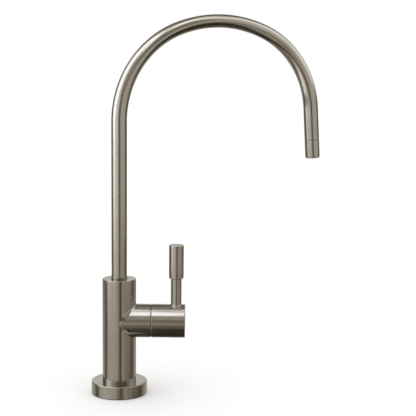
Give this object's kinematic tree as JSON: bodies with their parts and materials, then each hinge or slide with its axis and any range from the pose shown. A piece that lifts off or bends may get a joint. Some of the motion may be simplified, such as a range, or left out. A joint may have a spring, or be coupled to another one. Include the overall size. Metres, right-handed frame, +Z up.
{
  "type": "reverse osmosis faucet",
  "caption": "Gooseneck drinking water faucet: round base, upright body with side lever valve, swivel spout, and under-counter clamp with push-fit inlet.",
  "frame": {"origin": "on the axis of the body, on the counter top, which is the underside of the base gasket", "axes": "+Z up along the body, +X along the valve branch towards the lever, +Y away from the user's side to which the lever opens"},
  "size_m": [0.1834, 0.102, 0.3803],
  "materials": {
    "brushed_nickel": "fine brushed warm nickel plate",
    "brass": "turned",
    "plated_steel": "zinc plated",
    "ceramic": "lapped ceramic",
    "rubber": "moulded",
    "fibre": "pressed fibre",
    "dark_plastic": "turned acetal",
    "white_plastic": "moulded acetal"
  },
  "bodies": {
    "faucet_body": {"body_tee": "brushed_nickel", "base_plate": "brushed_nickel", "base_gasket": "rubber", "mounting_shank": "brass", "shank_washer": "fibre", "cartridge_body": "brushed_nickel", "cartridge_o_ring": "rubber", "seat_seal": "rubber", "fixed_disc": "ceramic", "spout_bush": "dark_plastic", "inlet_adaptor": "white_plastic", "adaptor_washer": "fibre", "adaptor_o_ring": "rubber"},
    "spout": {"spout_tube": "brushed_nickel", "spout_nipple": "brass", "spout_o_rings": "rubber", "spout_snap_ring": "plated_steel", "outlet_tip": "brushed_nickel", "tip_washer": "dark_plastic", "tip_o_ring": "rubber", "flow_straightener": "white_plastic"},
    "lever_handle": {"handle_hub": "brushed_nickel", "hub_set_screw": "plated_steel", "lever_rod": "brushed_nickel", "lever_grip": "brushed_nickel", "valve_spindle": "brass", "moving_disc": "ceramic", "spindle_o_rings": "rubber", "spindle_clip": "plated_steel"},
    "clamp_stack": {"rubber_washer": "rubber", "clamp_washer": "plated_steel", "lock_washer": "plated_steel"},
    "clamp_nut": {"mounting_nut": "brass"},
    "collet": {"release_collet": "white_plastic"}
  },
  "joints": [
    {"name": "spout_swivel", "type": "hinge", "parent": "faucet_body", "child": "spout", "pos_m": [0, 0, 0.08], "axis": [0, 0, 1], "continuous": true},
    {"name": "lever_turn", "type": "hinge", "parent": "faucet_body", "child": "lever_handle", "pos_m": [0.0386, 0, 0.0584], "axis": [1, 0, 0], "range_deg": [0, 90]},
    {"name": "clamp_slide", "type": "slide", "parent": "faucet_body", "child": "clamp_stack", "axis": [0, 0, 1], "range_m": [-0.015, 0.018]},
    {"name": "nut_turn", "type": "hinge", "parent": "clamp_stack", "child": "clamp_nut", "pos_m": [0, 0, -0.0289], "axis": [0, 0, 1], "range_deg": [-5100, 6120]},
    {"name": "collet_press", "type": "slide", "parent": "faucet_body", "child": "collet", "axis": [0, 0, 1], "range_m": [0, 0.0012]}
  ],
  "couplings": [
    {"joint": "clamp_slide", "follows": "nut_turn", "m_per_rad": 0.00016844}
  ]
}
